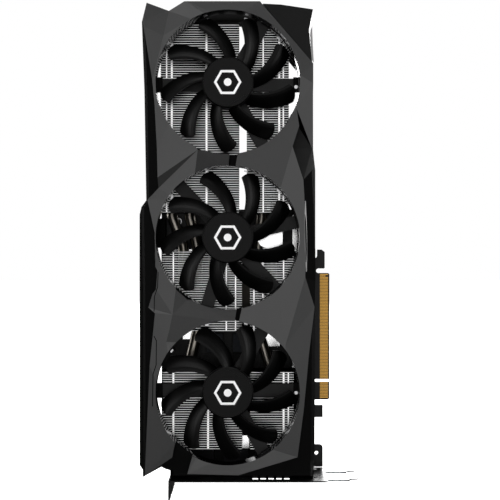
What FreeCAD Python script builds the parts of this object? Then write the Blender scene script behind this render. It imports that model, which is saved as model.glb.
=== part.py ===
import FreeCAD, Part
import math
import os

# Triple-fan graphics card, upright: z up along the card, x toward the edge
# connector, -y toward the fans.  Depths "h" are measured forward of the board
# face, so y = -h.  z = 0 is the outer face of the slot bracket.
doc = FreeCAD.newDocument("graphics_card")
sheet = doc.addObject("Spreadsheet::Sheet", "sizes")
SIZES = [
    ("card_length", 300.4, "bracket face to the tail of the shroud"),
    ("face_height", 41.0, "board face to the highest facet of the shroud"),
    ("fan_axis_x", -12.7, "fan axes, sideways"),
    ("ring_radius", 44.9, "fan opening in the shroud"),
    ("blade_radius", 43.0, "blade tips"),
    ("hub_radius", 16.0, "fan hub"),
    ("blade_count", 9, "blades on each fan"),
    ("blade_thick", 1.3, "blade thickness"),
    ("arm_width", 8.2, "fan frame arm"),
    ("fin_pitch", 1.47, "fin spacing along the card"),
    ("fin_thick", 0.4, "fin sheet"),
    ("fin_front", 26.0, "front edge of the fins"),
    ("fin_back", 6.0, "rear edge of the fins"),
    ("pipe_radius", 3.4, "heat pipe"),
    ("board_thick", 1.6, "circuit board"),
    ("board_length", 168.0, "circuit board along z"),
    ("board_left", -57.15, "board edge away from the slot"),
    ("board_right", 43.3, "board edge toward the slot"),
    ("finger_reach", 54.0, "free edge of the contact tongue"),
    ("gpu_side", 36.0, "processor package"),
    ("die_side", 19.0, "processor die"),
    ("bracket_flat", 100.0, "bracket flat along x"),
    ("bracket_depth", 38.7, "two slots"),
    ("bracket_thick", 0.9, "bracket sheet"),
    ("wall", 2.0, "shroud wall"),
    ("shaft_radius", 1.5, "fan shaft"),
    ("shaft_gap", 0.03, "running fit of the shaft"),
    ("backplate_thick", 1.5, "backplate sheet"),
]
for row, (alias, value, note) in enumerate(SIZES, start=1):
    sheet.set("A%d" % row, alias)
    sheet.set("B%d" % row, repr(value))
    sheet.setAlias("B%d" % row, alias)
    sheet.set("C%d" % row, note)
doc.recompute()
P = {alias: float(sheet.get(alias)) for alias, value, note in SIZES}

V = FreeCAD.Vector
PARTS = []
STRETCH = P["card_length"] / 300.4          # the cooler follows the length
TIGHT = min(1.0, STRETCH)                   # the fans shrink on a shorter card
PITCH = 96.7 * STRETCH
MID = 153.3 * STRETCH
FX = P["fan_axis_x"]
RING = P["ring_radius"] * TIGHT
BLADE = P["blade_radius"] * TIGHT
HUB = P["hub_radius"]
FACE = P["face_height"]
BASE = FACE - 7.4                           # panels sit on the frame here
FANS = (("top", MID + PITCH, 0.0, (180, 60, -60), 0),
        ("middle", MID, -1.5, (133, 13, -107), -47),
        ("bottom", MID - PITCH, 4.0, (180, 60, -60), 0))


# ---- small makers ---------------------------------------------------------
def box(x0, x1, h0, h1, z0, z1):
    return Part.makeBox(x1 - x0, h1 - h0, z1 - z0, V(x0, -h1, z0))


def rod(r, x, z, h0, h1):
    return Part.makeCylinder(r, h1 - h0, V(x, -h0, z), V(0, -1, 0))


def tube(r_out, r_in, x, z, h0, h1):
    return rod(r_out, x, z, h0, h1).cut(rod(r_in, x, z, h0 - 1, h1 + 1))


def slab(points, h0, h1):
    ring = [V(x, -h0, z) for x, z in points]
    face = Part.Face(Part.makePolygon(ring + [ring[0]]))
    return face.extrude(V(0, -(h1 - h0), 0))


def fuse(shapes):
    if len(shapes) == 1:
        return shapes[0]
    return shapes[0].multiFuse(shapes[1:]).removeSplitter()


def cut(shape, tools):
    return shape.cut(Part.makeCompound(tools)) if tools else shape


def inset(points, d):
    """The polygon moved inward by d (d < 0 moves it outward)."""
    n = len(points)
    area = sum(points[i][0] * points[(i + 1) % n][1]
               - points[(i + 1) % n][0] * points[i][1] for i in range(n))
    side = 1.0 if area > 0 else -1.0
    out = []
    for i in range(n):
        (ax, az), (bx, bz), (cx, cz) = points[i - 1], points[i], points[(i + 1) % n]
        u = V(bx - ax, 0, bz - az).normalize()
        w = V(cx - bx, 0, cz - bz).normalize()
        nu = V(-u.z * side, 0, u.x * side)
        nw = V(-w.z * side, 0, w.x * side)
        bis = (nu + nw).normalize()
        reach = d / max(0.35, bis.dot(nu))
        out.append((bx + bis.x * reach, bz + bis.z * reach))
    return out


def loft(lower, h0, upper, h1):
    a = [V(x, -h0, z) for x, z in lower]
    b = [V(x, -h1, z) for x, z in upper]
    return Part.makeLoft([Part.makePolygon(a + [a[0]]), Part.makePolygon(b + [b[0]])],
                         True, True)


def add(label, shape):
    obj = doc.addObject("Part::Feature", label)
    obj.Shape = shape
    obj.Label = label
    PARTS.append(obj)
    return obj


def add_box(label, length, width, height, x, y, z):
    """A box bound to the sheet: each argument is an expression."""
    obj = doc.addObject("Part::Box", label)
    obj.Label = label
    for prop, text in (("Length", length), ("Width", width), ("Height", height),
                       ("Placement.Base.x", x), ("Placement.Base.y", y),
                       ("Placement.Base.z", z)):
        obj.setExpression(prop, text)
    PARTS.append(obj)
    return obj


def along(points):
    """The same outline, following the card length."""
    return [(x, z * STRETCH) for x, z in points]


# outline of the shroud seen from the fans
EDGE = along([(-64.6, 298.3), (-67.4, 290.3), (-65.8, 247.0), (-64.6, 177.0),
              (-67.8, 172.6), (-67.0, 120.0)])
EDGE += [(-66.8, 1.4), (-55.0, 8.0), (-52.3, 6.6), (-49.4, 5.8), (-49.4, 1.4),
         (41.4, 1.4), (42.2, 20.7)]
EDGE += along([(42.6, 130.0), (42.6, 196.0), (41.2, 209.0), (41.2, 262.0), (9.2, 300.2),
               (-40.2, 300.2), (-49.4, 294.3)])

# ---- circuit board --------------------------------------------------------
BT = P["board_thick"]
BL, BR, BZ0 = P["board_left"], P["board_right"], 3.0
BZ1 = BZ0 + P["board_length"]
TIP = P["finger_reach"]
outline = [(BL + 7.0, 1.4), (BR, 1.4), (49.6, 1.4), (49.6, 14.4), (48.9, 15.7), (47.6, 16.2),
           (BR, 16.2), (BR, 34.3), (49.6, 34.3), (49.6, 42.4), (BR, 42.4), (BR, 46.0),
           (TIP - 1, 46.0), (TIP, 47.0), (TIP, 129.4), (TIP - 0.8, 130.2), (TIP - 7.6, 130.2),
           (TIP - 8.6, 130.8), (TIP - 8.9, 131.7), (TIP - 8.6, 132.6), (TIP - 7.6, 133.2),
           (TIP - 3.6, 133.2), (TIP - 3.1, 133.7), (TIP - 3.1, 144.2), (TIP - 5.2, 145.8),
           (TIP - 8.1, 145.8), (TIP - 8.1, 141.6), (TIP - 8.5, 140.6), (TIP - 9.4, 140.2),
           (BR, 140.2), (BR, BZ1), (BL, BZ1), (BL, BZ0 + 7.0)]
board = slab(outline, -BT, 0)
HOLES = [(-52.0, 14.0), (38.5, 24.0), (-50.6, 79.0), (38.0, 158.0), (-46.5, 164.5)]
GX, GZ = -10.0, 119.8
GPU_HOLES = [(GX + sx * 26.0, GZ + sz * 26.0) for sx in (-1, 1) for sz in (-1, 1)]
cuts = [rod(1.6, x, z, -BT - 1, 1) for x, z in HOLES + GPU_HOLES]
cuts.append(rod(1.25, 45.4, 10.5, -BT - 1, 1))
cuts.append(fuse([box(TIP - 9, TIP + 1, -BT - 1, 1, 57.7, 59.6),
                  rod(0.95, TIP - 9, 58.65, -BT - 1, 1)]))
board = cut(board, cuts)
add("board", board)

# gold contacts: 11 before the key, 71 after it, on both faces
for label, h0, h1 in (("contacts_front", 0.0, 0.05), ("contacts_back", -BT - 0.05, -BT)):
    pads = []
    for i in range(11):
        z = 46.5 + 0.95 + i * 1.0
        pads.append(box(TIP - 6.3, TIP - 0.9, h0, h1, z - 0.35, z + 0.35))
    for i in range(71):
        z = 59.6 + 0.7 + i * 0.985
        pads.append(box(TIP - 6.3, TIP - (0.9 if i != 69 else 2.6), h0, h1, z - 0.35, z + 0.35))
    add(label, Part.makeCompound(pads))

# processor, memory and power parts on the board face
add_box("gpu_package", "sizes.gpu_side", "1.6", "sizes.gpu_side",
        "%s - sizes.gpu_side / 2" % GX, "-1.6", "%s - sizes.gpu_side / 2" % GZ)
add_box("gpu_die", "sizes.die_side", "0.8", "sizes.die_side",
        "%s - sizes.die_side / 2" % GX, "-2.4", "%s - sizes.die_side / 2" % GZ)
MEMORY = [(-45.5, 104.0), (-45.5, 121.0), (-45.5, 138.0), (24.5, 102.0), (24.5, 118.0),
          (24.5, 134.0), (-22.0, 84.0), (-5.0, 84.0)]
add("memory_chips", Part.makeCompound([box(x - 6, x + 6, 0, 1.2, z - 7, z + 7)
                                       for x, z in MEMORY]))
add("memory_pads", Part.makeCompound([box(x - 5, x + 5, 1.2, 3.0, z - 6, z + 6)
                                      for x, z in MEMORY]))
COILS = [(x, 63.0) for x in (-40.0, -29.0, -18.0, -7.0, 4.0, 15.0)]
COILS += [(-42.0, 154.0), (-31.0, 154.0)]
add("inductors", Part.makeCompound([box(x - 4, x + 4, 0, 2.8, z - 4, z + 4)
                                    for x, z in COILS]))
STAGES = [(x, 73.0) for x in (-40.0, -29.0, -18.0, -7.0, 4.0, 15.0)]
add("power_stages", Part.makeCompound([box(x - 2.5, x + 2.5, 0, 1.0, z - 3, z + 3)
                                       for x, z in STAGES]))
CANS = [(-46.0, 44.0), (-38.0, 44.0), (-30.0, 44.0), (-22.0, 44.0), (8.0, 44.0), (16.0, 44.0)]
add("capacitors", Part.makeCompound([rod(2.6, x, z, 0, 2.7) for x, z in CANS]))

# ---- cold plate, base tray, heat pipes and fins ------------------------------
add("cold_plate", box(GX - 26, GX + 26, 2.4, 5.0, GZ - 22, GZ + 22))
TRAY = (-55.5, 38.0)
tray = box(TRAY[0], TRAY[1], 3.0, 4.6, 22.0, BZ1 - 2.5)
tray = cut(tray, [box(GX - 26.4, GX + 26.4, 2, 6, GZ - 22.4, GZ + 22.4),
                  box(-56.0, 6.9, 2, 6, 146.0, BZ1), box(6.0, 29.3, 2, 6, 159.2, BZ1),
                  box(21.5, 29.3, 2, 6, 146.0, BZ1), box(-56.0, 29.3, 2, 6, 66.0, 82.0),
                  box(-56.0, -43.1, 2, 6, 81.0, 94.0), box(-44.0, -32.5, 2, 6, 81.0, 86.7),
                  box(-32.5, 11.1, 2, 6, 81.0, 94.0), box(21.0, 29.3, 2, 6, 81.0, 94.0)])

PR = P["pipe_radius"]
PH = 5.0 + PR                      # pipe axes, forward of the board
FIN0, FIN1 = P["fin_back"], P["fin_front"]
# each pipe: x in the upper, middle and lower stack (None: it ends in the middle one)
PIPES = [(-50.0, -42.5, None), (-38.3, -33.5, -38.5), (-20.7, -22.5, None),
         (-12.0, -12.5, None), (8.9, 6.5, 14.0), (17.6, 15.5, None)]
GAP0, GAP1 = 145.6 * STRETCH, 169.4 * STRETCH
LOW0, LOW1 = 68.2 * STRETCH, 94.0 * STRETCH


def pipe(xa, xb, xc):
    """A round pipe along z that steps sideways in the gaps between the stacks."""
    y = -PH
    points = [V(xa, y, 283.0 * STRETCH), V(xa, y, GAP1 - 2.0), V(xb, y, GAP0 + 2.0)]
    if xc is None:
        points.append(V(xb, y, LOW1 + 2.0))
    else:
        points += [V(xb, y, LOW1 - 2.0), V(xc, y, LOW0 + 2.0), V(xc, y, 22.0)]
    edges, start = [], points[0]
    for before, knee, after in zip(points, points[1:], points[2:]):
        u, w = (before - knee).normalize(), (after - knee).normalize()
        half = u.getAngle(w) / 2.0
        bend = 12.0
        reach = bend / math.tan(half)
        first, last = knee + u * reach, knee + w * reach
        middle = knee + (u + w).normalize() * (bend / math.sin(half) - bend)
        edges.append(Part.LineSegment(start, first).toShape())
        edges.append(Part.Arc(first, middle, last).toShape())
        start = last
    edges.append(Part.LineSegment(start, points[-1]).toShape())
    ring = Part.Wire([Part.makeCircle(PR, points[0], V(0, 0, 1))])
    return Part.Wire(edges).makePipeShell([ring], True, True)


add("heat_pipes", Part.makeCompound([pipe(*stops) for stops in PIPES]))


def fin_stack(label, x0, x1, gap0, gap1, z0, z1, pipes, folds):
    """Sheets normal to z, threaded on the pipes, with folded tabs locking them."""
    t = P["fin_thick"]
    pitch = P["fin_pitch"]
    count = int((z1 - z0 - t) / pitch) + 1
    whole = box(x0, x1, FIN0, FIN1, 0, t)
    holes = [Part.makeCylinder(PR + 0.02, 2, V(x, -PH, -1), V(0, 0, 1)) for x in pipes]
    holes.append(box(gap0, gap1, FIN0 - 1, FIN1 + 1, -1, 2))
    plate = cut(whole, holes)
    tabs = [box(x - w, x + w, FIN1 - 1.0, FIN1 - 0.3, t, pitch) for x, w in folds]
    sheets = []
    for i in range(count):
        one = plate.copy()
        one.translate(V(0, 0, z0 + i * pitch))
        sheets.append(one)
        if i < count - 1:
            for tab in tabs:
                more = tab.copy()
                more.translate(V(0, 0, z0 + i * pitch))
                sheets.append(more)
    stack = fuse(sheets).common(slab(inset(EDGE, P["wall"] + 0.4), 0, 40))
    add(label, Part.makeCompound([half for half in stack.Solids if half.Volume > 500]))


UP, MIDDLE = [p[0] for p in PIPES], [p[1] for p in PIPES]
LOW = [p[2] for p in PIPES if p[2] is not None]
fin_stack("fins_upper", -55.8, 26.0, -5.8, -0.9, GAP1, 289.8 * STRETCH, UP,
          ((-51.9, 0.4), (-48.6, 0.6), (-26.5, 0.6), (9.6, 0.4), (19.8, 0.6), (22.4, 0.4)))
fin_stack("fins_middle", -54.6, 29.0, -3.9, 1.2, LOW1, GAP0, MIDDLE,
          ((-47.6, 0.4), (-13.9, 0.4), (-8.0, 0.4), (3.7, 0.4), (9.4, 0.4), (22.6, 0.4)))
fin_stack("fins_lower", -54.6, 29.0, -3.9, 1.2, 18.8, LOW0, LOW,
          ((-47.6, 0.6), (-25.5, 0.6), (22.6, 0.6), (25.6, 0.4)))

# ---- shroud frame ---------------------------------------------------------
W = P["wall"]
FOOT = 3.4                                  # lower rim of the shroud walls
BEND = BASE - 5.6
outer = fuse([slab(EDGE, FOOT, BEND), loft(EDGE, BEND, inset(EDGE, 2.4), BASE)])
hollow = [slab(inset(EDGE, W), FOOT - 1, BEND),
          loft(inset(EDGE, W), BEND, inset(EDGE, 2.4 + W), BASE - W)]
frame = cut(outer, hollow)
rings, bores, bosses, screws = [], [], [], []
for name, z, turn, arms, lead in FANS:
    rings.append(rod(RING + 1.5, FX, z, 28.8, BASE))
    bores.append(rod(RING, FX, z, 20, FACE + 5))
    for angle in arms:
        a = math.radians(angle)
        x, zz = FX + (RING + 3.9) * math.cos(a), z + (RING + 3.9) * math.sin(a)
        bosses.append(rod(2.6, x, zz, 28.5, BASE - 0.5))
        screws.append((name, x, zz))
frame = fuse([frame] + rings + bosses)
frame = cut(frame, bores + [rod(1.0, x, z, 28, BASE - 2) for name, x, z in screws]
            + [rod(2.2, x, z, 24, 28.5) for name, x, z in screws])
# intake slots behind the panels, and the window for the power socket
skirt = slab(EDGE, 0.0, FOOT).cut(slab(inset(EDGE, W), -1, FOOT + 1))
skirt = skirt.common(box(-90, 90, 0, FOOT, BZ1 + 0.6, 400 * STRETCH))
frame = fuse([frame, skirt])
# window for the power socket, tail vent, exhaust and socket openings at the bracket
frame = cut(frame, [box(-80, -60, -1, 13.4, 144.4, 168.6),
                    box(-30, 8, 16.8, 26.4, 299.0 * STRETCH - 4, 310 * STRETCH),
                    box(-43, 33, 14, 30, 1, 12), box(-42, 45, 3, 7.6, 0, 16)])
add("shroud_frame", frame)

# ---- faceted face panels ----------------------------------------------------
# corners of the facets: x, z and how far below the highest facet they lie
LEFT = {
    "ear": (-63.3, 299.8, 3.5), "ear_low": (-66.2, 289.2, 5.0), "notch": (-49.2, 294.0, 1.0),
    "crest": (-39.7, 300.4, 2.5), "seam": (-38.0, 300.4, 2.4), "seam_in": (-24.0, 290.0, 0.0),
    "brow": (-35.3, 288.8, 0.0), "cheek": (-52.4, 278.6, 0.0), "hip": (-65.2, 284.9, 4.5),
    "waist": (-59.7, 251.6, 2.5), "waist_low": (-58.3, 237.5, 2.0), "block": (-56.6, 207.5, 1.5),
    "in_a": (-44.0, 270.0, 0.0), "in_b": (-50.0, 250.0, 0.0), "in_c": (-46.0, 232.0, 0.0),
    "mid": (-31.2, 207.6, 0.0), "fold": (-56.2, 190.6, 1.0), "fold_low": (-55.8, 184.0, 2.8),
    "lip": (-33.0, 193.8, 1.2), "slot_a": (-11.5, 206.5, 0.8), "slot_b": (-12.4, 196.0, 0.8),
    "fin_tip": (-62.9, 176.9, 4.5), "under": (-58.1, 156.5, 2.0), "in_d": (-46.0, 178.0, 1.0),
    "in_e": (-50.0, 150.0, 0.5), "step_a": (-57.7, 135.3, 2.2), "step_b": (-56.4, 132.6, 1.6),
    "step_c": (-57.2, 121.1, 1.6), "step_d": (-59.5, 118.3, 2.6), "step_e": (-62.3, 109.6, 4.4),
    "step_f": (-57.9, 106.1, 2.0), "in_f": (-46.0, 135.0, 0.0), "wedge_a": (-44.8, 121.0, 0.0),
    "wedge_b": (-37.7, 114.6, 1.6), "wedge_c": (-46.9, 105.4, 0.0),
    "slot_c": (-6.8, 110.5, 0.8), "slot_d": (-8.4, 100.5, 0.8), "low_a": (-48.8, 95.8, 0.3),
    "low_b": (-50.8, 88.4, 0.6), "in_g": (-36.0, 88.0, 0.6), "low_c": (-61.4, 73.0, 3.0),
    "in_h": (-48.0, 66.0, 0.0), "in_i": (-44.0, 36.0, 0.0), "toe": (-64.6, 4.1, 4.8),
    "toe_a": (-45.2, 26.2, 0.6), "toe_b": (-47.2, 16.5, 1.8),
}
LEFT_FACETS = [
    ("ear", "ear_low", "notch"), ("ear_low", "hip", "notch"), ("hip", "cheek", "notch"),
    ("notch", "cheek", "brow"), ("notch", "crest", "brow"), ("crest", "seam", "seam_in"),
    ("crest", "seam_in", "brow"), ("cheek", "brow", "in_a"), ("hip", "waist", "cheek"),
    ("cheek", "waist", "in_a"), ("waist", "in_a", "in_b"), ("waist", "waist_low", "in_b"),
    ("waist_low", "in_b", "in_c"), ("waist_low", "block", "in_c"), ("block", "mid", "in_c"),
    ("block", "mid", "fold"), ("mid", "fold", "fold_low"), ("mid", "fold_low", "lip"),
    ("mid", "lip", "slot_b"), ("mid", "slot_a", "slot_b"), ("fold_low", "lip", "in_d"),
    ("fold_low", "fin_tip", "in_d"), ("fin_tip", "under", "in_d"), ("under", "in_d", "in_e"),
    ("under", "step_a", "in_e"), ("step_a", "in_e", "in_f"), ("step_a", "step_b", "in_f"),
    ("step_b", "step_c", "in_f"), ("step_c", "wedge_a", "in_f"),
    ("wedge_a", "step_c", "wedge_c"), ("step_c", "step_d", "wedge_c"),
    ("step_d", "step_e", "wedge_c"), ("step_e", "step_f", "wedge_c"),
    ("wedge_a", "wedge_b", "wedge_c"), ("wedge_b", "slot_d", "wedge_c"),
    ("wedge_b", "slot_c", "slot_d"), ("wedge_c", "slot_d", "in_g"),
    ("wedge_c", "low_a", "in_g"), ("low_a", "low_b", "in_g"), ("step_f", "wedge_c", "low_a"),
    ("step_f", "low_a", "low_b"), ("step_f", "low_b", "low_c"), ("low_b", "in_g", "in_h"),
    ("low_b", "low_c", "in_h"), ("low_c", "in_h", "in_i"), ("low_c", "toe", "in_i"),
    ("in_i", "toe", "toe_a"), ("toe", "toe_a", "toe_b"),
]
RIGHT = {
    "seam": (-37.9, 300.4, 2.4), "seam_in": (-23.9, 290.0, 0.0), "in_a": (-12.0, 288.0, 0.0),
    "top_a": (7.4, 300.4, 2.4), "top_b": (9.0, 298.4, 2.2), "in_b": (20.0, 270.0, 0.0),
    "corner_a": (40.6, 261.7, 2.6), "corner_b": (40.6, 249.3, 2.6), "brow": (32.4, 254.0, 0.0),
    "groove_a": (30.1, 233.5, 0.3), "in_c": (22.0, 240.0, 0.0), "shoulder": (39.9, 208.6, 3.4),
    "groove_b": (31.7, 222.4, 0.3), "groove_c": (27.6, 209.8, 0.0),
    "pit_b": (31.7, 222.4, 4.6), "pit_c": (27.6, 209.8, 4.6), "in_d": (15.0, 225.0, 0.0),
    "slot_a": (-6.2, 206.5, 0.8), "slot_b": (-8.1, 196.0, 0.8), "crease": (20.3, 184.2, 0.0),
    "in_e": (8.0, 185.0, 0.0), "side_a": (34.3, 189.0, 0.5), "side_b": (34.9, 179.9, 0.7),
    "side_c": (35.9, 145.5, 1.0), "in_f": (22.0, 170.0, 0.0), "in_g": (22.0, 140.0, 0.0),
    "ring_a": (30.8, 142.1, 0.5), "rim_a": (39.9, 195.3, 5.4), "rim_b": (42.2, 145.0, 6.2),
    "rim_c": (42.2, 126.0, 6.2), "knee_a": (35.5, 128.6, 0.4), "knee_b": (41.4, 110.0, 2.6),
    "in_h": (18.0, 122.0, 0.0), "slot_c": (-3.6, 110.5, 0.8), "slot_d": (-5.8, 100.5, 0.8),
    "crease_low": (23.2, 86.5, 0.0), "in_i": (12.0, 88.0, 0.0), "edge_a": (37.9, 80.6, 2.2),
    "edge_b": (34.7, 46.2, 2.2), "edge_c": (30.8, 16.5, 2.2), "base_a": (-6.1, 5.2, 2.6),
    "base_b": (-37.9, 6.0, 2.6), "base_c": (-34.6, 17.3, 0.5), "in_j": (24.0, 70.0, 0.0),
    "in_k": (22.0, 42.0, 0.0), "in_l": (8.0, 24.0, 0.0), "in_m": (-12.0, 18.0, 0.0),
    "in_n": (-28.0, 24.0, 0.0),
}
RIGHT_FACETS = [
    ("seam", "seam_in", "in_a"), ("seam", "top_a", "in_a"), ("top_a", "top_b", "in_a"),
    ("top_b", "in_a", "in_b"), ("top_b", "corner_a", "in_b"), ("corner_a", "brow", "in_b"),
    ("corner_a", "corner_b", "brow"), ("brow", "corner_b", "groove_a"),
    ("brow", "groove_a", "in_c"), ("corner_b", "groove_a", "shoulder"),
    ("groove_a", "pit_b", "shoulder"), ("pit_b", "pit_c", "shoulder"),
    ("groove_a", "groove_b", "in_d"), ("groove_a", "in_c", "in_d"),
    ("groove_b", "groove_c", "in_d"), ("groove_c", "in_d", "slot_a"),
    ("groove_c", "slot_a", "slot_b"), ("groove_c", "slot_b", "crease"),
    ("slot_b", "crease", "in_e"), ("groove_c", "crease", "side_a"),
    ("crease", "side_a", "side_b"), ("crease", "side_b", "in_f"),
    ("side_b", "side_c", "in_f"), ("side_c", "in_f", "in_g"), ("side_c", "ring_a", "in_g"),
    ("pit_c", "shoulder", "side_a"), ("shoulder", "rim_a", "side_a"),
    ("side_a", "rim_a", "side_b"), ("rim_a", "rim_b", "side_b"), ("side_b", "rim_b", "side_c"),
    ("side_c", "ring_a", "knee_a"), ("side_c", "knee_a", "rim_c"), ("side_c", "rim_b", "rim_c"),
    ("knee_a", "rim_c", "knee_b"), ("ring_a", "knee_a", "in_h"), ("ring_a", "in_g", "in_h"),
    ("knee_a", "knee_b", "crease_low"), ("knee_a", "in_h", "crease_low"),
    ("in_h", "slot_c", "crease_low"), ("slot_c", "slot_d", "crease_low"),
    ("slot_d", "crease_low", "in_i"), ("crease_low", "knee_b", "edge_a"),
    ("crease_low", "in_i", "in_j"), ("crease_low", "edge_a", "in_j"),
    ("edge_a", "edge_b", "in_j"), ("edge_b", "in_j", "in_k"), ("edge_b", "edge_c", "in_k"),
    ("edge_c", "in_k", "in_l"), ("edge_c", "base_a", "in_l"), ("base_a", "in_l", "in_m"),
    ("base_a", "base_b", "in_m"), ("base_b", "in_m", "in_n"), ("base_b", "base_c", "in_n"),
]


def facet(corners):
    """A three-sided column from the panel base up to one sloped facet."""
    top = [V(x, -(FACE - drop), z * STRETCH) for x, z, drop in corners]
    low = [V(p.x, -BASE, p.z) for p in top]
    faces = [Part.Face(Part.makePolygon(top + [top[0]])),
             Part.Face(Part.makePolygon(low + [low[0]]))]
    for i in range(3):
        j = (i + 1) % 3
        faces.append(Part.Face(Part.makePolygon([low[i], low[j], top[j], top[i], low[i]])))
    solid = Part.Solid(Part.Shell(faces))
    if solid.Volume < 0:
        solid.reverse()
    return solid


for label, corners, facets in (("face_panel_left", LEFT, LEFT_FACETS),
                               ("face_panel_right", RIGHT, RIGHT_FACETS)):
    columns = [facet([corners[n] for n in names]) for names in facets]
    add(label, fuse(columns).cut(Part.makeCompound(bores)))

# black corner piece at the tail and the louvred flank
TAIL_LOW = along([(8.0, 300.2), (20.4, 299.9), (41.0, 297.4), (41.6, 283.0), (41.2, 258.0)])
TAIL_TOP = along([(8.0, 300.2), (20.4, 299.6), (40.7, 296.6), (38.2, 283.6), (40.7, 258.3)])
tail = loft(TAIL_LOW, 8.0, TAIL_TOP, 34.0)
tail = tail.cut(slab(EDGE, 0, 45))
add("tail_cover", tail)
flank = slab([(-68.9, 9.0), (-66.9, 6.0), (-67.1, 120.0 * STRETCH), (-67.9, 172.0 * STRETCH),
              (-68.9, 168.0 * STRETCH)], 13.8, 27.4)
slots = []
for i in range(9):
    z = (20.0 + i * 17.0) * STRETCH
    slots.append(slab([(-70, z), (-66, z), (-66, z + 5), (-70, z + 5)], 16.2, 25.0))
add("flank_left", cut(flank, slots))

# ---- fans -----------------------------------------------------------------
ARM0, ARM1 = 26.5, 28.5                      # frame arms, just in front of the fins
CAP = FACE - 2.2                             # front of the hub
ROOT = 29.6                                  # rear rim of the hub


def blade_section(r, centre, half, h_rear, h_front, t):
    """One closed outline across the blade at radius r (degrees about the axis)."""
    er = V(math.cos(math.radians(centre)), 0, math.sin(math.radians(centre)))
    et = V(-er.z, 0, er.x)
    reach = r * math.sin(math.radians(half))
    front, rear = [], []
    for k in range(7):
        f = k / 6.0
        across = reach * (2 * f - 1)
        h = h_rear + (h_front - h_rear) * math.sin(math.pi / 2 * f)
        thick = t * (0.45 + 0.55 * math.sin(math.pi * (0.12 + 0.48 * f)))
        front.append(er * r + et * across + V(0, -(h + thick / 2), 0))
        rear.append(er * r + et * across + V(0, -(h - thick / 2), 0))
    pts = front + rear[::-1]
    return Part.makePolygon(pts + [pts[0]])


def rotor(name):
    t = P["blade_thick"]
    cup = rod(HUB, 0, 0, ROOT, CAP)
    cup = cup.makeChamfer(0.7, [e for e in cup.Edges if abs(e.BoundBox.YMin + CAP) < 0.01
                                and abs(e.BoundBox.YMax + CAP) < 0.01])
    hole = rod(HUB - 1.8, 0, 0, ROOT - 1, CAP - 2.0)
    # sweep and half width of the blade outline, in degrees, from hub to tip
    plan = [(3.0, 13.2), (11.8, 11.6), (20.2, 10.3), (28.4, 9.6), (36.6, 8.8)]
    span = BLADE - HUB
    blades = []
    for i in range(int(P["blade_count"])):
        start = 360.0 * i / int(P["blade_count"])
        rows = []
        for k, (sweep, half) in enumerate(plan):
            r = HUB - 1.0 + (span + 2.5) * k / 4.0
            rows.append(blade_section(r, start + sweep, half * 9.0 / P["blade_count"],
                                      ROOT + 1.2, CAP - 1.6 - 0.2 * k, t))
        blades.append(Part.makeLoft(rows, True, False))
    # rounded tips: a disc short of the tips plus a round at the end of each blade
    lobe = 6.9 * 9.0 / P["blade_count"]
    inner = rod(BLADE - lobe, 0, 0, ROOT, CAP)
    for i in range(len(blades)):
        a = math.radians(360.0 * i / len(blades) + 28.4)
        end = rod(lobe, (BLADE - lobe) * math.cos(a), (BLADE - lobe) * math.sin(a), ROOT, CAP)
        blades[i] = blades[i].common(inner.fuse(end))
    body = fuse([cup] + blades).cut(hole)
    return body.cut(rod(HUB - 0.9, 0, 0, CAP - 0.35, CAP + 1))


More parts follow.
